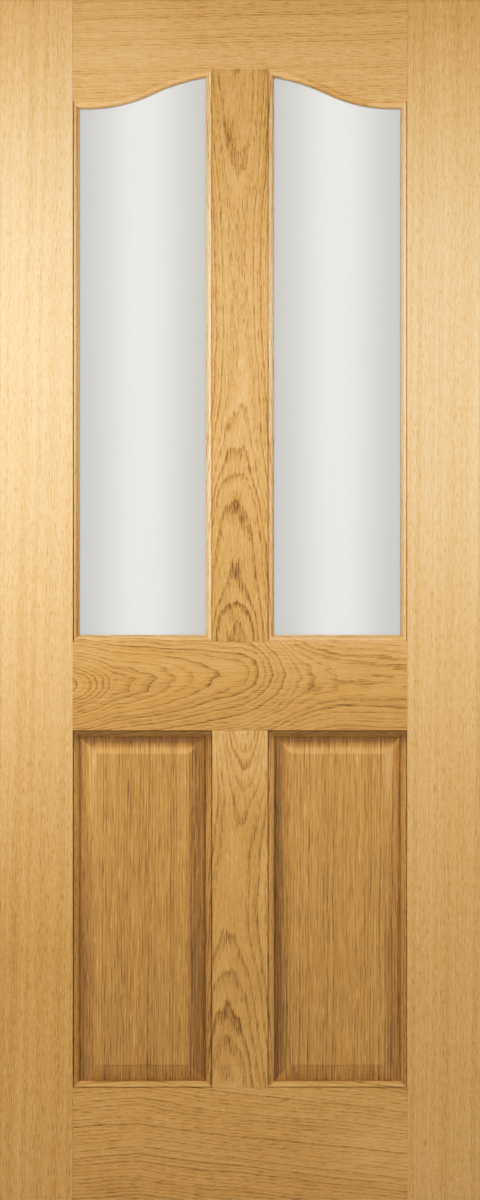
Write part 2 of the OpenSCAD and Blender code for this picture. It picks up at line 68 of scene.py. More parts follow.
class Sock:
    """A shader value that takes part in Python arithmetic: each operator adds a Math node."""

    def __init__(self, graph: "Graph", link: bpy.types.NodeSocket) -> None:
        """Wraps an output socket of a graph."""
        self.graph = graph
        self.link = link

    def math(self, operation: str, *others: Value) -> "Sock":
        """Adds a Math node with this value as its first.

        Args:
            operation: the node's operation.
            others: its other values.

        Returns:
            The node's result.
        """
        return self.graph.math(operation, self, *others)

    def __add__(self, other: Value) -> "Sock":
        """Returns this plus another."""
        return self.math("ADD", other)

    __radd__ = __add__

    def __sub__(self, other: Value) -> "Sock":
        """Returns this minus another."""
        return self.math("SUBTRACT", other)

    def __rsub__(self, other: Value) -> "Sock":
        """Returns another minus this."""
        return self.graph.math("SUBTRACT", other, self)

    def __mul__(self, other: Value) -> "Sock":
        """Returns this times another."""
        return self.math("MULTIPLY", other)

    def __truediv__(self, other: Value) -> "Sock":
        """Returns this divided by another."""
        return self.math("DIVIDE", other)

    def __pow__(self, other: Value) -> "Sock":
        """Returns this to a power."""
        return self.math("POWER", other)

    def __abs__(self) -> "Sock":
        """Returns this without its sign."""
        return self.math("ABSOLUTE")

    def rise(self, low: float, high: float) -> "Sock":
        """Returns a smooth step from 0 at low to 1 at high."""
        node = self.graph.add("ShaderNodeMapRange", {"interpolation_type": "SMOOTHSTEP"},
                              {"Value": self, "From Min": low, "From Max": high})
        return Sock(self.graph, node.outputs[0])

    def curve(self, stops: Stops) -> "Sock":
        """Reads a function of this value that runs straight between its stops.

        Args:
            stops: places and heights, with rising places.

        Returns:
            The height at this value, level past the ends.
        """
        places, heights = np.array(stops).T
        start, span = float(places[0]), max(float(np.ptp(places)), TINY)
        base, reach = float(heights.min()), max(float(np.ptp(heights)), TINY)
        greys = [((p - start) / span, ((h - base) / reach,) * 3) for p, h in stops]
        node = self.graph.add("ShaderNodeValToRGB", {"stops": greys, "interpolation": "LINEAR"},
                              {0: (self - start) / span})
        return Sock(self.graph, node.outputs[0]) * reach + base

    def hump(self, up: Span, down: Span) -> "Sock":
        """Returns a smooth step from 0 to 1 along the first span, and back to 0 along the second."""
        return self.rise(*up) * (1.0 - self.rise(*down))

    def pulse(self, low: float, high: float, soft: float) -> "Sock":
        """Returns 1 between low and high, and 0 past a soft edge on each side."""
        return self.hump((low - soft, low), (high, high + soft))

    def above(self, least: float) -> "Sock":
        """Returns a share from 0 to 1, squeezed to lie between a least share and 1."""
        return self * (1.0 - least) + least


Plug = Union[Value, Sequence[float]]


class Graph:
    """The node tree of one material or world."""

    def __init__(self, tree: bpy.types.NodeTree) -> None:
        """Empties a node tree and takes it over."""
        self.tree = tree
        tree.nodes.clear()

    def add(self, kind: str, settings: Optional[dict] = None,
            sockets: Optional[dict[Union[str, int], Plug]] = None) -> bpy.types.Node:
        """Adds any node.

        Args:
            kind: the node's type.
            settings: its properties, set first; stops are those of a colour ramp.
            sockets: the values or links of its inputs.

        Returns:
            The node.
        """
        node = self.tree.nodes.new(kind)
        for name, value in (settings or {}).items():
            if name == "stops":
                self._set_stops(node.color_ramp, value)
            elif name == "interpolation":
                node.color_ramp.interpolation = value
            else:
                setattr(node, name, value)
        for name, value in (sockets or {}).items():
            if isinstance(value, Sock):
                self.tree.links.new(value.link, node.inputs[name])
            else:
                node.inputs[name].default_value = value
        return node

    @staticmethod
    def _set_stops(ramp: bpy.types.ColorRamp, stops: Ramp) -> None:
        """Gives a colour ramp its stops.

        Args:
            ramp: the ramp.
            stops: places and colours, in order.
        """
        while len(ramp.elements) < len(stops):
            ramp.elements.new(1.0)
        for element, (place, colour) in zip(ramp.elements, stops):
            element.position = place
            element.color = (*colour, 1.0)

    def math(self, operation: str, *values: Value) -> Sock:
        """Adds a Math node.

        Args:
            operation: the node's operation.
            values: its inputs.

        Returns:
            The node's result.
        """
        node = self.add("ShaderNodeMath", {"operation": operation}, dict(enumerate(values)))
        return Sock(self, node.outputs[0])

    def place(self) -> tuple[Sock, Sock, Sock]:
        """Reads the point on the surface.

        Returns:
            Its three coordinates in the object's own frame, in millimetres.
        """
        point = self.add("ShaderNodeTexCoord")
        split = self.add("ShaderNodeSeparateXYZ", None, {0: Sock(self, point.outputs["Object"])})
        x, y, z = (Sock(self, out) * MM for out in split.outputs)
        return x, y, z

    def noise(self, x: Plug, y: Plug, z: Plug, detail: float = 2.0, rough: float = 0.5) -> Sock:
        """Adds smooth noise with features one unit wide.

        Args:
            x: first coordinate.
            y: second coordinate.
            z: third coordinate.
            detail: octaves of finer noise.
            rough: strength of each finer octave.

        Returns:
            The noise, about 0 to 1 with a mean of 0.5.
        """
        vector = self.add("ShaderNodeCombineXYZ", None, {0: x, 1: y, 2: z})
        node = self.add("ShaderNodeTexNoise", {"noise_dimensions": "3D"},
                        {"Vector": Sock(self, vector.outputs[0]), "Scale": 1.0, "Detail": detail,
                         "Roughness": rough})
        return Sock(self, node.outputs[0])

    def dice(self, value: Sock) -> Sock:
        """Returns a random number from 0 to 1 for each whole part of a value."""
        node = self.add("ShaderNodeTexWhiteNoise", {"noise_dimensions": "1D"},
                        {"W": value.math("FLOOR")})
        return Sock(self, node.outputs[0])

    def ramp(self, value: Sock, stops: Ramp) -> Sock:
        """Returns the colour that a value has on a ramp."""
        node = self.add("ShaderNodeValToRGB", {"stops": stops, "interpolation": "LINEAR"}, {0: value})
        return Sock(self, node.outputs[0])

    def mix(self, share: Plug, first: Colour, second: Colour) -> Sock:
        """Returns a colour between two, by the share of the second."""
        node = self.add("ShaderNodeMix", {"data_type": "RGBA"},
                        {0: share, 6: (*first, 1.0), 7: (*second, 1.0)})
        return Sock(self, node.outputs[2])

    def looked_at(self) -> Sock:
        """Tells the rays that see from those that only light.

        Returns:
            1 for a ray from the camera, a gloss or a glass, and 0 for any other.
        """
        path = self.add("ShaderNodeLightPath")
        camera, glossy, through = (
            Sock(self, path.outputs[name])
            for name in ("Is Camera Ray", "Is Glossy Ray", "Is Transmission Ray"))
        return camera.math("MAXIMUM", glossy).math("MAXIMUM", through)

    def bump(self, height: Sock, strength: float, distance: float) -> Sock:
        """Returns a normal that is tilted by a height."""
        node = self.add("ShaderNodeBump", None,
                        {"Strength": strength, "Distance": distance, "Height": height})
        return Sock(self, node.outputs[0])

    def surface(self, sockets: dict[str, Plug]) -> bpy.types.Node:
        """Adds the main shader with its inputs and puts it on the output."""
        shader = self.add("ShaderNodeBsdfPrincipled", None, sockets)
        self.add("ShaderNodeOutputMaterial", None, {0: Sock(self, shader.outputs[0])})
        return shader


def new_graph(name: str) -> tuple[bpy.types.Material, Graph]:
    """Makes a material.

    Args:
        name: its name.

    Returns:
        The material and its empty graph.
    """
    material = bpy.data.materials.new(name)
    material.use_nodes = True
    return material, Graph(material.node_tree)


@dataclass(frozen=True)
class Box:
    """The reach of one node of the model, in millimetres."""

    low: Point
    high: Point

    @classmethod
    def of(cls, name: str) -> "Box":
        """Reads the box of a node from its mesh.

        Args:
            name: the node's name.

        Returns:
            The box, to a thousandth of a millimetre.
        """
        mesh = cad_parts[name].data
        flat = np.empty(len(mesh.vertices) * 3)
        mesh.vertices.foreach_get("co", flat)
        points = flat.reshape(-1, 3) * MM
        low, high = (tuple(edge.round(3).tolist()) for edge in (points.min(0), points.max(0)))
        return cls(low, high)


@dataclass(frozen=True)
class WoodPoint:
    """A point in a member: its place along the fibres, across the face and below it, in millimetres."""

    fibre: Sock
    across: Sock
    inward: Sock


@dataclass(frozen=True)
class Streak:
    """Noise drawn out along the fibres.

    Its run, width and depth are in millimetres. Detail and rough are those of the noise, and the shift keeps
    two kinds of streak from lying alike.
    """

    run: float
    wide: float
    deep: float
    detail: float = 2.0
    rough: float = 0.5
    shift: Point = (0.0, 0.0, 0.0)

    def read(self, at: WoodPoint, seed: float = 0.0) -> Sock:
        """Reads the noise.

        Args:
            at: where it is read.
            seed: what moves it across the face, so that two members differ.

        Returns:
            The noise, about 0 to 1 with a mean of 0.5.
        """
        places = at.fibre / self.run, at.across / self.wide, at.inward / self.deep
        moves = self.shift[0], self.shift[1] + seed, self.shift[2]
        moved = [place + move if move else place for place, move in zip(places, moves)]
        return at.fibre.graph.noise(*moved, self.detail, self.rough)

    def swing(self, at: WoodPoint) -> Sock:
        """Returns the noise with a mean of 0."""
        return self.read(at) - MEAN


class Edge(Protocol):
    """Where a member's moulding lies."""

    def shade(self, x: Sock, z: Sock) -> Sock:
        """Returns how much darker the wood is by its place on the moulding, by stain and painted light."""
        ...


@dataclass(frozen=True)
class UprightEdge:
    """The moulding up one side of a stile or a muntin, between two heights.

    The stain is how much darker the wood is than the face, by the distance past the face edge: partly stain,
    partly painted shade and painted highlight where the moulding turns away from the light or towards it. The
    painted shade is added to it by height, darker beside the lock rail.
    """

    at: float
    rightward: bool
    stain_and_painted_light: Stops
    low: float
    high: float
    painted_shade: Stops = ((0, 0), (1, 0))

    def shade(self, x: Sock, z: Sock) -> Sock:
        """Reads the stain and painted light by the distance past the face edge, and the painted shade by
        height on the moulding.

        Args:
            x: place across the door.
            z: height.

        Returns:
            How much darker the wood is.
        """
        reach = x - self.at if self.rightward else self.at - x
        painted_shade = z.curve(self.painted_shade) * reach.rise(0.0, SOFT)
        return (reach.curve(self.stain_and_painted_light) + painted_shade) * z.pulse(self.low, self.high, SOFT)


@dataclass(frozen=True)
class LevelEdge:
    """The moulding along the top or the foot of a rail."""

    at: float
    upward: bool
    stain_and_painted_light: Stops

    def shade(self, x: Sock, z: Sock) -> Sock:
        """Returns the stain and painted light by the distance past the face edge."""
        return (z - self.at if self.upward else self.at - z).curve(self.stain_and_painted_light)


@dataclass(frozen=True)
class SweptEdge:
    """The moulding under the top rail: a crown, a reverse arc and a level run.

    The painted shade is what is added to the stain and painted light by the place across the door, darker
    under the right-hand sweep.
    """

    spring: float
    crown_r: float
    sweep_r: float
    run: float
    width: float
    stain_and_painted_light: Stops
    painted_shade: Stops
    soft: float = 1.5

    def shade(self, x: Sock, z: Sock) -> Sock:
        """Reads the stain and painted light by the distance past the swept face edge, with the painted shade
        across the door.

        The distance is read from the crown's circle up to the turn, from the reverse arc's circle up
        to the level run, and from the spring line after it.

        Args:
            x: place across the door.
            z: height.

        Returns:
            How much darker the wood is.
        """
        both = self.crown_r + self.sweep_r
        rise = both - math.sqrt(both ** 2 - self.run ** 2)
        turn = self.run * self.crown_r / both
        aside, above = abs(x), z - self.spring
        to_crown = (aside ** 2.0 + (above - (rise - self.crown_r)) ** 2.0) ** 0.5
        to_sweep = ((self.run - aside) ** 2.0 + (self.sweep_r - above) ** 2.0) ** 0.5
        crown = self.crown_r + self.width - to_crown
        sweep = to_sweep - (self.sweep_r - self.width)
        level = self.width - above
        past_turn = aside.math("GREATER_THAN", turn)
        past_sweep = aside.math("GREATER_THAN", self.run)
        reach = crown + (sweep - crown) * past_turn
        reach = reach + (level - reach) * past_sweep
        return reach.curve(self.stain_and_painted_light) + x.curve(self.painted_shade) * reach.rise(0.0, self.soft)


@dataclass(frozen=True)
class FieldEdges:
    """The raised field of a panel, with the four bevels round it, stained and given painted shade and painted
    highlight by the distance past the field.

    The sheen is a painted reflection, added by height on the bevel of the lit side. It starts at the field
    and fades towards the groove.
    """

    middle: Span
    half: Span
    # Stain, painted shade and painted highlight of each bevel, by the distance past the field.
    left: Stops
    right: Stops
    head: Stops
    foot: Stops
    lit_side: float
    sheen: Stops
    sheen_in: Span = (-2, 0.5)
    sheen_out: Span = (6, 26)
    mitre_soft: float = 1.5

    def shade(self, x: Sock, z: Sock) -> Sock:
        """Reads the stain and painted light of the bevel on whose side of the mitres the point lies.

        Args:
            x: place across the door.
            z: height.

        Returns:
            How much darker the wood is.
        """
        sideways, upward = x - self.middle[0], z - self.middle[1]
        aside, above = abs(sideways) - self.half[0], abs(upward) - self.half[1]
        reach = aside.math("MAXIMUM", above)
        left, right, head, foot = (
            reach.curve(stain_and_painted_light) for stain_and_painted_light in (self.left, self.right, self.head, self.foot))
        lit = (sideways * self.lit_side).rise(-SOFT, SOFT) * reach.hump(self.sheen_in, self.sheen_out)
        beside = left + (right - left) * sideways.rise(-SOFT, SOFT) + z.curve(self.sheen) * lit
        ends = foot + (head - foot) * upward.rise(-SOFT, SOFT)
        return ends + (beside - ends) * (aside - above).rise(-self.mitre_soft, self.mitre_soft)


@dataclass(frozen=True)
class Patch:
    """A soft oval of wood that is darker, where the pores crowd, or paler."""

    at: Span
    half: Span
    deep: float
    core: float = 0.2

    def shade(self, x: Sock, z: Sock) -> Sock:
        """Returns the shade by the distance from the middle, over the half sizes."""
        off = (((x - self.at[0]) / self.half[0]) ** 2.0 + ((z - self.at[1]) / self.half[1]) ** 2.0) ** 0.5
        return (1.0 - off.rise(self.core, 1.0)) * self.deep


@dataclass(frozen=True)
class Figure:
    """How the growth rings lie under a face.

    A ring is a circle round a centre that runs with the fibres, at some depth below the face. Where the
    depth changes along the member the rings come to the face as arches, and where it doesn't they run
    straight. A spread under 1 makes the circles wider ovals, and so the arches blunter. A power over 2 makes
    them boxier, and so the arches flatter at the head and steeper at the sides.
    """

    centre: Stops
    depth: Stops
    ring: float
    wander: float = 3.0
    ripple: float = 1.0
    ragged: float = 0.25
    spread: Stops = ((0, 1), (1, 1))
    power: float = 2.0

    @classmethod
    def straight(cls, ends: Span, centre: Span, depth: Span, **rest: float) -> "Figure":
        """Returns a figure whose centre and depth change evenly between its ends."""
        return cls(tuple(zip(ends, centre)), tuple(zip(ends, depth)), **rest)


def stepped(apexes: Stops, near: float = 0.30, after: float = 0.31, before: float = 0.37) -> Stops:
    """Makes a ring count change fast beside each apex and slowly between two, so that arches are flat.

    Args:
        apexes: places and ring counts, one pair for each apex.
        near: length of a fast stretch, as a share of the way to the next apex.
        after: share of the change on the stretch after an apex.
        before: share of the change on the stretch before the next apex.

    Returns:
        The apexes with two more pairs between each two.
    """
    run = [apexes[0]]
    for (first_at, first), (next_at, following) in zip(apexes, apexes[1:]):
        step, gain = (next_at - first_at) * near, following - first
        run += [
            (first_at + step, first + gain * after),
            (next_at - step, following - gain * before),
            (next_at, following),
        ]
    return tuple(run)


@dataclass(frozen=True)
class Oak:
    """The finish of one oak member.

    The tone is the shade by height: partly the boards' own tone, and partly painted light, paler where the
    light falls brightest and darker away from it. Line, band, stroke, fleck, fine, spot and cloud are the
    strengths of what lies on it: ring lines, porous bands, pores, pale flecks, fibres, the rings' own tones
    and broad clouds.
    """

    name: str
    grain: Grain
    figure: Figure
    tone_and_painted_light: Stops
    line: float = 0.14
    band: float = 0.10
    stroke: float = 0.18
    fleck: float = 0.10
    fine: float = 0.34
    spot: float = 0.05
    cloud: float = 0.14
    cloud_run: float = 210.0
    stretch: float = 1.0
    through: float = 1.0
    seed: float = 0.0
    edges: tuple[Edge, ...] = ()
    patches: tuple[Patch, ...] = ()
    roughness: float = 0.44
    gloss: float = 0.20
    coat: float = 0.04
    coat_roughness: float = 0.30
    bump: float = 0.35
    bump_height: float = 0.0004

    palette: Ramp = (
        (-0.25, srgb(255, 238, 208)),
        (0.00, srgb(251, 222, 177)),
        (0.25, srgb(240, 197, 132)),
        (0.50, srgb(221, 167, 88)),
        (0.72, srgb(189, 136, 66)),
        (1.00, srgb(126, 84, 40)),
    )
    fibres: Streak = Streak(70.0, 2.2, 2.4, 2.0, 0.65)
    flecks: Streak = Streak(26.0, 2.4, 4.0, 1.0, shift=(7.3, 0.0, 0.0))
    slow: Streak = Streak(160.0, 60.0, 60.0, shift=(0.0, 0.0, 3.1))
    wavy: Streak = Streak(90.0, 13.0, 30.0, shift=(5.7, 0.0, 0.0))
    ragged: Streak = Streak(9.0, 2.4, 4.0, 1.0)
    fading: Streak = Streak(45.0, 10.0, 9.0, shift=(0.0, 2.2, 0.0))
    long_pores: Streak = Streak(30.0, 1.6, 1.7)
    short_pores: Streak = Streak(9.0, 0.8, 0.8, 1.0, shift=(3.3, 0.0, 0.0))
    cloud_wide: float = 30.0
    cloud_deep: float = 60.0
    cloud_detail: float = 3.0

    fleck_shows: Span = (0.58, 0.76)
    fade_shows: Span = (0.30, 0.70)
    long_shows: Span = (0.54, 0.72)
    short_shows: Span = (0.56, 0.74)
    short_share: float = 0.60
    crowding: float = 0.12
    patch_fade: Span = (2, 14)
    patch_bare: float = 0.40
    band_bare: float = 0.35

    ring_bend: float = 0.9
    growth_pace: float = 0.8
    growth: float = 1.3
    minor_rings: float = 3.3
    minor_share: float = 0.30
    line_at: tuple[Span, Span] = ((0.82, 0.93), (0.95, 1))
    minor_at: tuple[Span, Span] = ((0.55, 0.90), (0.92, 1))
    band_at: tuple[Span, Span] = ((0.35, 0.85), (0.92, 1))
    line_least: float = 0.25
    band_least: float = 0.40

    pore_sinks: float = 0.6
    line_sinks: float = 0.4
    fibre_stands: float = 0.5
    pore_dull: float = 0.14
    cloud_dull: float = 0.12
    fibre_dull: float = 0.06

    def material(self, face: float) -> bpy.types.Material:
        """Makes the material.

        Args:
            face: where the leaf's face lies, in millimetres, so that the rings run on from face to edge.

        Returns:
            The material.
        """
        material, graph = new_graph(self.name)
        x, y, z = graph.place()
        inward = (y - face) * self.through
        along, across = (z, x) if self.grain is Grain.UPRIGHT else (x, z)
        wood = WoodPoint(along + self.seed, across, inward)
        drawn = WoodPoint(wood.fibre / self.stretch, across, inward)
        lines, band, spot = self._rings(graph, along, wood)
        strokes = self._strokes(drawn, band)
        fibres = self.fibres.swing(drawn)
        cloud = Streak(self.cloud_run, self.cloud_wide, self.cloud_deep, self.cloud_detail).swing(wood)
        flecks = self.flecks.read(drawn, self.seed).rise(*self.fleck_shows)
        dark = (
            # Tone by height, partly painted light.
            z.curve(self.tone_and_painted_light)
            + lines * self.line
            + band * strokes.above(self.band_bare) * self.band
            + strokes * self.stroke
            + cloud * self.cloud
            + (spot - MEAN) * self.spot
            + fibres * self.fine
            - flecks * self.fleck
        )
        # Moulding and bevel stain with painted shade and painted highlight.
        for edge in self.edges:
            dark = dark + edge.shade(x, z)
        near = strokes.above(self.patch_bare) * (1.0 - inward.rise(*self.patch_fade))
        for patch in self.patches:
            dark = dark + patch.shade(x, z) * near
        palest, darkest = self.palette[0][0], self.palette[-1][0]
        stops = [((place - palest) / (darkest - palest), colour) for place, colour in self.palette]
        height = strokes * -self.pore_sinks + lines * -self.line_sinks + fibres * self.fibre_stands
        dull = strokes * self.pore_dull + cloud * self.cloud_dull + fibres * self.fibre_dull
        graph.surface({
            "Base Color": graph.ramp((dark - palest) / (darkest - palest), stops),
            "Roughness": self.roughness + dull,
            "Normal": graph.bump(height, self.bump, self.bump_height),
            "Specular IOR Level": self.gloss,
            "Coat Weight": self.coat,
            "Coat Roughness": self.coat_roughness,
        })
        return material

    def _rings(self, graph: Graph, along: Sock, wood: WoodPoint) -> tuple[Sock, Sock, Sock]:
        """Reads the growth rings.

        The distance from the ring centre, over the ring width, counts the rings, and a noise of that count
        makes some wide and some narrow. Each starts pale, darkens to a porous band and ends in a thin line,
        with fainter lines between.

        Args:
            graph: the material's graph.
            along: place along the member.
            wood: the point in the wood.

        Returns:
            The thin lines, the porous bands, and a random tone for each ring.
        """
        figure = self.figure
        slow, wavy, ragged = (streak.swing(wood) for streak in (self.slow, self.wavy, self.ragged))
        aside = wood.across - along.curve(figure.centre) + slow * (2.0 * figure.wander)
        aside = aside * along.curve(figure.spread)
        below = along.curve(figure.depth) + wood.inward
        below = below + wavy * (2.0 * figure.ripple) + ragged * (2.0 * figure.ragged)
        radius = (abs(aside) ** figure.power + abs(below) ** figure.power) ** (1.0 / figure.power)
        even = radius / figure.ring + slow * self.ring_bend
        count = even + graph.noise(even * self.growth_pace, self.seed, 0.0, 1.0) * self.growth
        part, minor = count.math("FRACT"), (count * self.minor_rings).math("FRACT")
        spot = graph.dice(count)
        fading = self.fading.read(wood).rise(*self.fade_shows)
        thin = part.hump(*self.line_at) * spot.above(self.line_least)
        between = minor.hump(*self.minor_at) * self.minor_share
        band = part.hump(*self.band_at) * spot.above(self.band_least)
        return (thin + between) * fading.above(self.line_least), band, spot

    def _strokes(self, wood: WoodPoint, band: Sock) -> Sock:
        """Reads the open pores, which are cut lengthwise into short dark strokes of two sizes.

        Args:
            wood: the point in the wood.
            band: the porous part of the rings, where the pores crowd.

        Returns:
            The strokes.
        """
        crowd = band * self.crowding
        long = (self.long_pores.read(wood, self.seed) + crowd).rise(*self.long_shows)
        short = (self.short_pores.read(wood) + crowd).rise(*self.short_shows)
        return long.math("MAXIMUM", short * self.short_share)


@dataclass(frozen=True)
class SatinGlass:
    """Acid-etched glass: it lets light through, with a paler lit middle and painted shade that makes it a
    little greyer beside its edges.
    """

    name: str
    middle: float
    half: float
    # Painted light: the paler lit middle, and painted shade on the greyer rim.
    core: Colour = srgb(240, 239, 235)
    shaded_rim: Colour = srgb(212, 211, 206)
    clear: float = 0.95
    ior: float = 1.5
    mist: float = 1.1
    cloud: Span = (160, 400)
    cloudy: float = 0.10
    fade: Span = (0.05, 1)
    roughness: float = 0.34
    mist_dull: float = 0.12
    bump: float = 0.10
    bump_height: float = 0.0002

    def material(self) -> bpy.types.Material:
        """Makes the material.

        Returns:
            The material.
        """
        material, graph = new_graph(self.name)
        x, y, z = graph.place()
        off = abs((x - self.middle) / self.half)
        mist = graph.noise(x / self.mist, y / self.mist, z / self.mist, 3.0)
        cloud = graph.noise(x / self.cloud[0], y / self.cloud[0], z / self.cloud[1], 2.0)
        # Painted shade towards the rim of each pane.
        shaded_rimward = off.rise(*self.fade) + (cloud - MEAN) * self.cloudy
        graph.surface({
            "Base Color": graph.mix(shaded_rimward, self.core, self.shaded_rim),
            "Roughness": self.roughness + (mist - MEAN) * self.mist_dull,
            "Normal": graph.bump(mist, self.bump, self.bump_height),
            "Transmission Weight": self.clear,
            "IOR": self.ior,
        })
        return material


@dataclass(frozen=True)
class Steel:
    """Satin plated steel, brushed along the hinge."""

    name: str
    pale: Colour = srgb(188, 188, 190)
    grey: Colour = srgb(152, 152, 155)
    brush: Span = (0.18, 14)
    touch: Span = (18, 26)
    brush_share: float = 0.6
    roughness: float = 0.42
    brush_dull: float = 0.10
    touch_dull: float = 0.16
    bump: float = 0.12
    bump_height: float = 0.0001

    def material(self) -> bpy.types.Material:
        """Makes the material.

        Returns:
            The material.
        """
        material, graph = new_graph(self.name)
        x, y, z = graph.place()
        brushed = graph.noise(x / self.brush[0], y / self.brush[0], z / self.brush[1], 2.0)
        handled = graph.noise(x / self.touch[0], y / self.touch[0], z / self.touch[1], 3.0)
        worn = brushed * self.brush_share + handled * (1.0 - self.brush_share)
        graph.surface({
            "Base Color": graph.mix(worn, self.grey, self.pale),
            "Metallic": 1.0,
            "Roughness": self.roughness + brushed * self.brush_dull + (handled - MEAN) * self.touch_dull,
            "Normal": graph.bump(brushed, self.bump, self.bump_height),
        })
        return material


@dataclass(frozen=True)
class Foam:
    """Black closed-cell glazing tape and blocks."""

    name: str
    black: Colour = srgb(38, 38, 39)
    grey: Colour = srgb(66, 66, 67)
    cell: float = 0.4
    dust: float = 9.0
    roughness: float = 0.80
    cell_dull: float = 0.2
    cell_share: float = 0.5
    bump: float = 0.3
    bump_height: float = 0.0002

    def material(self) -> bpy.types.Material:
        """Makes the material.

        Returns:
            The material.
        """
        material, graph = new_graph(self.name)
        x, y, z = graph.place()
        cells = graph.noise(x / self.cell, y / self.cell, z / self.cell, 3.0)
        dust = graph.noise(x / self.dust, y / self.dust, z / self.dust, 3.0)
        worn = cells * self.cell_share + dust * (1.0 - self.cell_share)
        graph.surface({
            "Base Color": graph.mix(worn, self.black, self.grey),
            "Roughness": self.roughness + (cells - MEAN) * self.cell_dull,
            "Normal": graph.bump(cells, self.bump, self.bump_height),
        })
        return material


def dress(finish: bpy.types.Material, *names: str) -> None:
    """Puts a material on nodes of the model.

    Args:
        finish: the material.
        names: the nodes.
    """
    for name in names:
        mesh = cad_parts[name].data
        mesh.materials.clear()
        mesh.materials.append(finish)
        LOG.info("%s: %s", name, finish.name)


@dataclass
class Leaf:
    """The leaf's stiles, rails, muntins and panels, with the sizes that their finishes follow."""

    height: float
    foot: float
    face: float
    core_out: float
    core_in: float
    stick: float
    lock_low: float
    lock_top: float
    bottom_top: float
    spring: float
    crown_r: float = 345.0
    sweep_r: float = 255.0
    level_run: float = 14.5
    bevel: float = 28.0
    muntin_ring: float = 8.0
    crowd_half: float = 16.0
    crowd_deep: float = 0.26
    # Painted shade on the uprights' mouldings by height: darker just above the lock rail beside the glass,
    # and just under it beside the panels.
    glass_painted_shade: Stops = ((960, 0.12), (1120, 0.09), (1320, 0))
    panel_painted_shade: Stops = (
        (690, 0), (752, 0.06), (768, 0.10), (778, 0.20), (786, 0.32), (795, 0.44), (799, 0.36))
    inner_painted_shade: Stops = (
        (660, 0), (735, 0.12), (760, 0.18), (772, 0.24), (784, 0.36), (795, 0.46), (799, 0.40))

    @classmethod
    def from_frame(cls) -> "Leaf":
        """Reads the leaf's sizes from the boxes of its members.

        Returns:
            The leaf.
        """
        stile, rail = Box.of("closing_stile"), Box.of("top_rail")
        upper, lower = Box.of("upper_muntin"), Box.of("lower_muntin")
        stick = rail.high[0] - stile.low[0]
        return cls(
            height=stile.high[2] - stile.low[2],
            foot=stile.low[2],
            face=stile.low[1],
            core_out=rail.high[0],
            core_in=upper.high[0] - stick,
            stick=stick,
            lock_low=lower.high[2],
            lock_top=upper.low[2],
            bottom_top=lower.low[2],
            spring=rail.low[2],
        )

    @property
    def top(self) -> float:
        """Returns the height of the leaf's upper edge."""
        return self.foot + self.height

    def build(self) -> None:
        """Dresses every member of the leaf in oak of its own figure."""
        self._stiles()
        self._top_rail()
        self._lock_rail()
        self._bottom_rail()
        self._upper_muntin()
        self._lower_muntin()
        self._panels()

    def _stile_edges(self, at: float, rightward: bool, glass: Stops, panel: Stops) -> tuple[Edge, ...]:
        """Returns a stile's moulding beside the glass and the one beside the panel."""
        return (
            UprightEdge(at, rightward, glass, self.lock_top, self.top, self.glass_painted_shade),
            UprightEdge(at, rightward, panel, self.foot, self.lock_low, self.panel_painted_shade),
        )

    def _crowd(self, x: float, z: float, half_high: float) -> Patch:
        """Returns an upright oval on a muntin where the pores crowd."""
        return Patch((x, z), (self.crowd_half, half_high), self.crowd_deep)

    def _stiles(self) -> None:
        """Dresses the stiles: straight, pale boards, paled further by painted light near the lamps' height.
        """
        # Stain and painted light of the stiles' mouldings: painted shade beside the panels and on the left
        # stile's glass moulding, painted highlight on the right stile's glass moulding.
        left_glass = (
            (-0.3, 0), (0.2, 0.62), (1.4, 0.62), (2.4, 0.12), (4, 0.08), (5.2, 0.30), (7.2, 0.34),
            (8.6, 0.04), (12, -0.10))
        right_glass = (
            (-0.3, 0), (0.2, 0.20), (1.4, 0.20), (2.4, -0.12), (4, -0.12), (6, -0.04), (12, -0.14))
        left_panel = (
            (-0.3, 0), (0.2, 0.56), (1.4, 0.56), (2.4, 0.27), (4, 0.27), (5.5, 0.23), (7.5, 0.15),
            (9.5, 0.14), (12, 0.20))
        right_panel = (
            (-0.3, 0), (0.2, 0.28), (1.4, 0.30), (2.4, 0.30), (5, 0.31), (7.5, 0.23), (9.5, 0.16),
            (12, 0.26))
        hinge = Oak(
            "oak_hinge_stile", Grain.UPRIGHT,
            Figure.straight((0, 2040), (-900, -860), (60, 30), ring=3.4, wander=4.0, ripple=0.6),
            # Painted light by height: palest near the lamps' height, darker towards the foot and the top.
            tone_and_painted_light=(
                (5, 0.44), (200, 0.47), (420, 0.49), (800, 0.285), (1000, 0.185), (1180, 0.10),
                (1450, 0.01), (1640, 0.02), (1800, 0.10), (2037, 0.33)),
            line=0.05, band=0.04, stroke=0.21, fleck=0.12, cloud_run=600.0, stretch=0.5,
            edges=self._stile_edges(-self.core_out, True, left_glass, left_panel))
        closing = replace(
            hinge, name="oak_closing_stile",
            figure=Figure.straight((0, 2040), (880, 900), (40, 60), ring=3.1, wander=4.0, ripple=0.6),
            # Painted light by height, as on the hinge stile.
            tone_and_painted_light=(
                (5, 0.37), (200, 0.40), (420, 0.39), (694, 0.33), (800, 0.29), (1021, 0.19),
                (1180, 0.12), (1450, 0.07), (1640, 0.09), (1800, 0.19), (2037, 0.43)),
            seed=431.0, edges=self._stile_edges(self.core_out, False, right_glass, right_panel))
        dress(hinge.material(self.face), "hinge_stile")
        dress(closing.material(self.face), "closing_stile")

    def _top_rail(self) -> None:
        """Dresses the top rail: straight, with painted shade on the moulding under its right-hand sweep."""
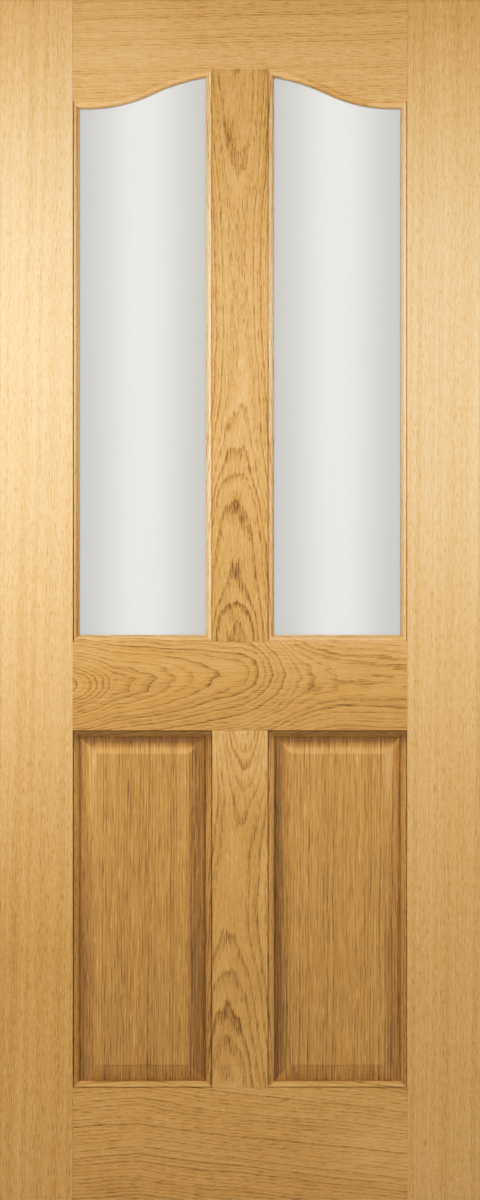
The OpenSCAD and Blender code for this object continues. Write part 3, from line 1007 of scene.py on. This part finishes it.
        # Painted highlight on the swept moulding, and painted shade under its right-hand sweep.
        swept = SweptEdge(
            self.spring, self.crown_r, self.sweep_r, self.core_out - self.stick - self.level_run, self.stick,
            stain_and_painted_light=(
                (-0.3, 0), (0.3, -0.06), (1.4, -0.06), (2.6, 0), (5, -0.06), (7.5, -0.14), (9, 0.02),
                (12, 0.02)),
            painted_shade=((90, 0), (135, 0.17), (205, 0.17), (240, 0)))
        oak = Oak(
            "oak_top_rail", Grain.LEVEL,
            Figure.straight((-290, 290), (2500, 2512), (40, 60), ring=4.6, wander=5.0, ripple=0.8),
            tone_and_painted_light=((1840, 0.30), (1950, 0.35), (2037, 0.42)),
            band=0.08, stroke=0.22, cloud=0.06, stretch=0.7, seed=77.0,
            edges=(swept,), patches=(Patch((-203, 1969), (150, 120), -0.12),))
        dress(oak.material(self.face), "top_rail")

    def _lock_rail(self) -> None:
        """Dresses the lock rail: arches that open to the left, and two crowded spots at the right."""
        # Painted highlight on the head moulding, which faces up, and painted shade on the foot moulding,
        # which faces down, over a dark quirk.
        head = (
            (-0.3, 0), (0.3, -0.12), (1.4, -0.12), (3, -0.12), (6, -0.10), (9, -0.12), (12, -0.26))
        foot = (
            (-0.3, 0), (0.3, 0.54), (1.4, 0.60), (2.4, 0.30), (3.6, 0.36), (5, 0.36), (7, 0.24),
            (9, 0.06), (12, 0))
        oak = Oak(
            "oak_lock_rail", Grain.LEVEL,
            Figure(
                centre=((-300, 875), (-119, 885.5), (29, 899), (93, 889), (339, 879)),
                depth=(
                    (-300, 0), (-279.5, 15), (-215, 44), (-152, 52), (-115, 58),
                    (-42, 68), (5, 72), (29, 78), (93, 108), (132, 117), (169, 120),
                    (339, 121)),
                ring=5.2, wander=7.0, ripple=2.8, ragged=0.4,
                spread=((-300, 1), (17, 1), (178, 1.2), (339, 1.2))),
            tone_and_painted_light=((790, 0.52), (880, 0.48), (930, 0.42), (960, 0.34)),
            line=0.28, band=0.24, fleck=0.09, cloud=0.18, seed=12.0,
            edges=(LevelEdge(self.lock_top, True, head), LevelEdge(self.lock_low, False, foot)),
            patches=(Patch((127, 873.5), (18, 16), 0.22), Patch((254, 884), (14, 9), 0.14)))
        dress(oak.material(self.face), "lock_rail")

    def _bottom_rail(self) -> None:
        """Dresses the bottom rail: sloping lines, darker at the left foot and paler at the right."""
        # A dark quirk with painted shade, and a painted highlight where the head moulding faces up.
        head = (
            (-0.3, 0), (0.2, 0.24), (1.4, 0.24), (2.6, -0.08), (4.6, -0.08), (6.5, -0.04), (9.5, -0.06),
            (12, 0.05))
        oak = Oak(
            "oak_bottom_rail", Grain.LEVEL,
            Figure(
                centre=((-290, -30), (-170, -22), (-60, -38), (290, -75)),
                depth=((-290, 12), (290, 12)), ring=6.2, wander=5.0, ripple=1.4),
            tone_and_painted_light=((0, 0.48), (200, 0.47)),
            line=0.22, band=0.14, stroke=0.22, fleck=0.12, cloud=0.16, stretch=0.7, seed=250.0,
            edges=(LevelEdge(self.bottom_top, True, head),),
            patches=(Patch((-220, 22), (60, 16), 0.12), Patch((254, 90), (150, 120), -0.14)))
        dress(oak.material(self.face), "bottom_rail")

    def _upper_muntin(self) -> None:
        """Dresses the upper muntin: a stack of flat arches on its foot, and straight lines above."""
        # Painted highlight on both mouldings.
        left = (
            (-0.3, 0), (0.3, -0.06), (1.4, -0.16), (2.4, -0.34), (5.5, -0.36), (8, -0.32), (12, -0.40))
        right = (
            (-0.3, 0), (0.4, -0.10), (1.6, -0.14), (3.5, -0.14), (5.6, -0.36), (7.4, -0.36), (9, -0.10),
            (12, -0.26))
        arches = stepped((
            (963.5, 5.1), (989, 5.5), (1022.5, 6.5), (1114, 7.5), (1204, 8.5), (1236, 9.5),
            (1288.5, 10.5), (1359.5, 11.5)))
        straights = (
            (1478, 11.9), (1681.5, 11.9), (1715.5, 11.6), (1757.5, 11.2), (1817, 10.8), (1918.5, 10.3))
        crowds = ((-8.5, 1183.5, 34.0), (-5.0, 1077.0, 26.0), (-12.0, 990.5, 14.0), (-15.0, 1800.0, 60.0))
        oak = Oak(
            "oak_upper_muntin", Grain.UPRIGHT,
            Figure(
                centre=((963.5, -8.5), (1224, -6.8), (1359.5, 0), (1918.5, -6.8)),
                depth=tuple((z, count * self.muntin_ring) for z, count in arches + straights),
                ring=self.muntin_ring, wander=3.4, ripple=3.2, ragged=1.3,
                spread=(
                    (963.5, 1.20), (1114, 1.30), (1292, 2), (1478, 2.6), (1681.5, 2.4), (1918.5, 1.7)),
                power=3.0),
            tone_and_painted_light=((950, 0.46), (1250, 0.34), (1500, 0.28), (1760, 0.38), (1880, 0.44), (1940, 0.50)),
            line=0.05, band=0.30, stroke=0.28, fleck=0.18, fine=0.42, spot=0.08, cloud=0.20, stretch=0.75,
            seed=5.0,
            edges=(
                UprightEdge(-self.core_in, False, left, self.lock_top, self.top),
                UprightEdge(self.core_in, True, right, self.lock_top, self.top, self.glass_painted_shade)),
            patches=tuple(self._crowd(*crowd) for crowd in crowds))
        dress(oak.material(self.face), "upper_muntin")

    def _lower_muntin(self) -> None:
        """Dresses the lower muntin: arches that stand on its foot and others that hang from its head."""
        # Stain and painted light of the mouldings: a dark quirk with painted shade, a faint painted highlight
        # further out, and painted shade by height under the lock rail.
        left = (
            (-0.3, 0), (0.2, 0.34), (1.4, 0.34), (2.6, 0.20), (5, 0.15), (7.5, 0.05), (9.5, -0.02),
            (12, 0.05))
        right = (
            (-0.3, 0), (0.2, 0.24), (1.4, 0.24), (2.6, 0.12), (5, 0.08), (7.5, -0.08), (9.5, -0.12),
            (12, 0))
        arches = (
            (191.5, 3.6), (245.5, 4.6), (293, 5.6), (350.5, 6.5), (394.5, 7.3), (447, 8), (513, 8.5),
            (597.5, 8.5), (682.5, 7.8), (714.5, 7), (750, 6), (772, 5), (792.5, 4), (804.5, 3.4))
        oak = Oak(
            "oak_lower_muntin", Grain.UPRIGHT,
            Figure(
                centre=((191.5, -22), (513, -20.3), (597.5, -5.1), (699.5, 6.8), (804.5, 6.8)),
                depth=tuple((z, count * self.muntin_ring) for z, count in arches),
                ring=self.muntin_ring, wander=3.4, ripple=2.4, ragged=1.0,
                spread=((191.5, 0.9), (513, 0.9), (699.5, 1.3), (804.5, 1.6))),
            tone_and_painted_light=((190, 0.48), (330, 0.51), (640, 0.50), (730, 0.39), (800, 0.34)),
            line=0.06, band=0.20, stroke=0.24, fleck=0.15, spot=0.10, cloud=0.26, cloud_run=150.0,
            stretch=0.75, seed=140.0,
            edges=(
                UprightEdge(-self.core_in, False, left, self.foot, self.lock_low, self.inner_painted_shade),
                UprightEdge(self.core_in, True, right, self.foot, self.lock_low, self.panel_painted_shade)),
            patches=(self._crowd(-23.7, 221.7, 30.0),))
        dress(oak.material(self.face), "lower_muntin")

    def _panels(self) -> None:
        """Dresses the panels: straight grain, and bevels with painted shade that darkens towards the groove
        and a painted sheen on the lit side.
        """
        low, high = self.bottom_top + self.stick, self.lock_low - self.stick
        middle = (self.core_out + self.core_in) / 2
        half = (self.core_out - self.core_in) / 2 - self.stick - self.bevel, (high - low) / 2 - self.bevel
        # Stain and painted light of the bevels: painted shadow of the lock rail on the head bevel, painted
        # shade darkening towards the groove, and a painted highlight at the field's edge.
        head = (
            (-2, 0), (0, -0.15), (7, -0.09), (10, 0.02), (14, 0.15), (17, 0.24), (20, 0.36),
            (24, 0.42), (27, 0.28), (30, 0.15))
        foot = ((-3, 0), (2, 0.02), (14, 0.06), (26, 0.09), (28, 0.18), (30, 0.14))
        left_outer = (
            (-3, 0), (0, -0.03), (5, 0.02), (10, 0.08), (17, 0.13), (20, 0.18), (23, 0.21),
            (25, 0.15), (28, 0))
        left_inner = ((-3, 0), (2, 0.08), (12, 0.16), (20, 0.23), (24, 0.27), (28, 0.18))
        right_inner = (
            (-3, 0), (2, 0.07), (6, 0.12), (10, 0.22), (16, 0.30), (20, 0.34), (23, 0.36),
            (25, 0.28), (28, 0.16))
        right_outer = ((-3, 0), (2, 0.04), (14, 0.08), (26, 0.10), (30, 0.08))
        # Painted sheen: a painted reflection that pales the lit bevels towards the head, and darkens them
        # slightly at the foot.
        sheen = ((230, 0.06), (450, 0.02), (560, 0), (630, -0.11), (700, -0.16), (750, -0.22))
        figure = Figure.straight((0, 800), (700, 704), (50, 60), ring=5.2, wander=5.0, ripple=0.8)
        for side, sign, tone_and_painted_light, left, right, seed in (
                ("left", -1.0, ((190, 0.64), (800, 0.55)), left_outer, left_inner, 310.0),
                ("right", 1.0, ((190, 0.61), (800, 0.53)), right_inner, right_outer, 355.0)):
            bevels = FieldEdges((sign * middle, (low + high) / 2), half, left, right, head, foot, sign, sheen)
            panel = Oak(
                f"oak_{side}_panel", Grain.UPRIGHT, figure, tone_and_painted_light,
                line=0.12, band=0.08, stroke=0.22, fleck=0.20, fine=0.48, cloud_run=400.0, stretch=1.5,
                through=0.1, seed=seed, edges=(bevels,))
            dress(panel.material(self.face), f"{side}_panel")


@dataclass
class Glazing:
    """The two panes with what holds them."""

    sight_in: float
    sight_out: float

    def build(self, face: float) -> None:
        """Dresses the panes, their tape and blocks, the beads and the dowels.

        Args:
            face: where the leaf's face lies, in millimetres.
        """
        middle, half = (self.sight_in + self.sight_out) / 2, (self.sight_out - self.sight_in) / 2
        upright = Oak(
            "oak_upright_bead", Grain.UPRIGHT,
            Figure.straight((0, 2040), (700, 710), (50, 60), ring=4.0),
            tone_and_painted_light=((0, 0.36), (2040, 0.36)), line=0.20, seed=61.0).material(face)
        level = Oak(
            "oak_level_bead", Grain.LEVEL,
            Figure.straight((-290, 290), (2500, 2510), (50, 60), ring=4.0),
            tone_and_painted_light=((0, 0.38), (2040, 0.38)), line=0.20, seed=190.0).material(face)
        beech = Oak(
            "beech_dowel", Grain.LEVEL,
            Figure.straight((-290, 290), (400, 400), (50, 50), ring=2.2),
            tone_and_painted_light=((0, 0.22), (2040, 0.22)), line=0.10, stroke=0.10, seed=33.0)
        for side, sign in (("left", -1.0), ("right", 1.0)):
            dress(SatinGlass(f"satin_glass_{side}", sign * middle, half).material(), f"{side}_glass")
            dress(upright, f"{side}_outer_bead", f"{side}_inner_bead")
            dress(level, f"{side}_top_bead", f"{side}_foot_bead")
        dress(Foam("black_foam").material(), "left_glazing_tape", "right_glazing_tape", "setting_blocks")
        dress(beech.material(face), "rail_dowels", "muntin_dowels")


@dataclass
class Lining:
    """The jambs, the head and the stops that the leaf closes against."""

    # Tone by height, partly painted light: palest near the lamps' height.
    tone_and_painted_light: Stops = ((0, 0.36), (700, 0.30), (1500, 0.26), (2070, 0.32))

    def build(self, face: float) -> None:
        """Dresses the lining in plain straight oak.

        Args:
            face: where the leaf's face lies, in millimetres, as the lining's grain is read from there too.
        """
        upright = Oak(
            "oak_jamb", Grain.UPRIGHT,
            Figure.straight((0, 2040), (1200, 1240), (160, 120), ring=5.0, wander=5.0),
            self.tone_and_painted_light, line=0.20, stroke=0.20, seed=520.0)
        level = Oak(
            "oak_head", Grain.LEVEL,
            Figure.straight((-450, 450), (2900, 2915), (150, 140), ring=5.0, wander=5.0),
            self.tone_and_painted_light, line=0.20, stroke=0.20, seed=640.0)
        dress(upright.material(face), "hinge_jamb", "closing_jamb", "hinge_stop", "closing_stop")
        dress(level.material(face), "head_jamb", "head_stop")


@dataclass
class Hinges:
    """Three butt hinges with their pins and screws."""

    places: tuple[str, ...] = ("top", "middle", "bottom")

    def build(self) -> None:
        """Dresses the hinges and every screw in satin steel, with no shadow of the hinges on the stile."""
        steel = Steel("satin_steel").material()
        for place in self.places:
            names = f"{place}_hinge_leaf_plate", f"{place}_hinge_frame_plate", f"{place}_hinge_pin"
            dress(steel, *names)
            for name in names:
                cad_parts[name].visible_shadow = False
        dress(steel, "leaf_hinge_screws", "frame_hinge_screws", "head_screws")


@dataclass(frozen=True)
class Lamp:
    """A soft rectangular lamp that faces a point, in metres and watts."""

    name: str
    at: Point
    aim: Point
    wide: float
    high: float
    power: float
    mirrored: bool = True

    def build(self) -> None:
        """Hangs the lamp, unseen by the camera and through the glass."""
        light = bpy.data.lights.new(self.name, "AREA")
        light.shape = "RECTANGLE"
        light.size, light.size_y = self.wide, self.high
        light.energy = self.power
        lamp = bpy.data.objects.new(self.name, light)
        lamp.location = self.at
        lamp.rotation_euler = (Vector(self.aim) - Vector(self.at)).to_track_quat("-Z", "Y").to_euler()
        lamp.visible_camera = False
        lamp.visible_transmission = False
        lamp.visible_glossy = self.mirrored
        bpy.context.scene.collection.objects.link(lamp)
        LOG.info("lamp %s", self.name)


FRONT_AIM = (0.0, -0.06, 1.15)
BACK_AIM = (0.0, 0.05, 1.1)
TOP_AIM = (0.0, 0.05, 2.0)


@dataclass
class Studio:
    """Floor, light and camera, in metres."""

    floor_rings: tuple[float, ...] = (0.0, 1.5, 3.0, 6.0, 14.0)
    floor_turns: int = 96
    floor_fade: Span = (300, 2600)
    floor_speck: float = 40.0
    floor_grey: Colour = (0.80, 0.80, 0.79)
    floor_pale: Colour = (0.86, 0.86, 0.85)
    lens: float = 120.0
    sensor: float = 36.0
    clip_end: float = 100.0
    ambient: float = 0.12
    lamps: tuple[Lamp, ...] = (
        Lamp("left_softbox", (-1.25, -1.35, 1.50), FRONT_AIM, wide=0.6, high=0.9, power=21.0),
        Lamp("right_softbox", (1.25, -1.35, 1.50), FRONT_AIM, wide=0.6, high=0.9, power=14.6),
        Lamp("back_left_softbox", (-2.0, 1.7, 1.6), BACK_AIM, wide=1.2, high=1.6, power=22.0, mirrored=False),
        Lamp("back_right_softbox", (2.0, 1.7, 1.6), BACK_AIM, wide=1.2, high=1.6, power=22.0, mirrored=False),
        Lamp("top_softbox", (0.0, 0.7, 3.3), TOP_AIM, wide=1.2, high=1.0, power=10.0, mirrored=False),
    )

    def build(self, leaf: Leaf) -> None:
        """Makes the floor, the world, the lamps and the camera.

        Args:
            leaf: what the camera frames.
        """
        self._floor()
        self._world()
        for lamp in self.lamps:
            lamp.build()
        self._camera(leaf)

    def _floor(self) -> None:
        """Makes a disc: radius times the cosine and the sine of an angle, on a grid of both."""
        angles = np.linspace(0.0, 2.0 * np.pi, self.floor_turns, endpoint=False)
        radius, angle = np.meshgrid(np.array(self.floor_rings), angles, indexing="ij")
        points = np.stack([radius * np.cos(angle), radius * np.sin(angle), np.zeros_like(radius)], -1)
        rows, turns = radius.shape
        row, turn = np.meshgrid(np.arange(rows - 1), np.arange(turns), indexing="ij")
        after = (turn + 1) % turns
        corners = row * turns + turn, (row + 1) * turns + turn, (row + 1) * turns + after, row * turns + after
        quads = np.stack(corners, -1).reshape(-1, 4)
        mesh = bpy.data.meshes.new("floor")
        mesh.from_pydata(points.reshape(-1, 3).tolist(), [], quads.tolist())
        floor = bpy.data.objects.new("floor", mesh)
        bpy.context.scene.collection.objects.link(floor)
        mesh.materials.append(self._floor_finish())
        LOG.info("floor")

    def _floor_finish(self) -> bpy.types.Material:
        """Makes a pale matt floor that fades into the white background away from the door.

        Returns:
            The material.
        """
        material, graph = new_graph("pale_floor")
        x, y, z = graph.place()
        far = ((x ** 2.0 + y ** 2.0) ** 0.5).rise(*self.floor_fade)
        speck = graph.noise(x / self.floor_speck, y / self.floor_speck, z, 3.0)
        paint = graph.add("ShaderNodeBsdfDiffuse", None, {
            "Color": graph.mix(speck, self.floor_grey, self.floor_pale)})
        glow = graph.add("ShaderNodeEmission", None, {"Color": WHITE, "Strength": 1.0})
        blend = graph.add("ShaderNodeMixShader", None, {
            0: far * graph.looked_at(), 1: Sock(graph, paint.outputs[0]), 2: Sock(graph, glow.outputs[0])})
        graph.add("ShaderNodeOutputMaterial", None, {0: Sock(graph, blend.outputs[0])})
        return material

    def _world(self) -> None:
        """Makes a world that is white where it is seen, and a soft fill where it only lights."""
        world = bpy.data.worlds.new("studio")
        world.use_nodes = True
        bpy.context.scene.world = world
        graph = Graph(world.node_tree)
        sky = graph.add("ShaderNodeBackground", None, {
            "Color": WHITE, "Strength": graph.looked_at() * (1.0 - self.ambient) + self.ambient})
        graph.add("ShaderNodeOutputWorld", None, {0: Sock(graph, sky.outputs[0])})

    def _camera(self, leaf: Leaf) -> None:
        """Stands the camera straight before the leaf, as far off as makes the leaf fill the frame's height.

        Args:
            leaf: what the camera frames.
        """
        data = bpy.data.cameras.new("camera")
        data.lens, data.sensor_width = self.lens, self.sensor
        data.dof.use_dof = False
        data.clip_end = self.clip_end
        camera = bpy.data.objects.new("camera", data)
        away = leaf.height / MM * self.lens / self.sensor
        camera.location = (0.0, leaf.face / MM - away, (leaf.foot + leaf.height / 2) / MM)
        camera.rotation_euler = (math.pi / 2, 0.0, 0.0)
        bpy.context.scene.collection.objects.link(camera)
        bpy.context.scene.camera = camera
        bpy.context.scene.view_settings.view_transform = "Standard"


def main() -> None:
    """Dresses the door, piece by piece, and sets up the studio."""
    logging.basicConfig(level=logging.INFO)
    leaf = Leaf.from_frame()
    Studio().build(leaf)
    leaf.build()
    Glazing(leaf.core_in + leaf.stick, leaf.core_out - leaf.stick).build(leaf.face)
    Lining().build(leaf.face)
    Hinges().build()


if __name__ == "__main__":
    main()
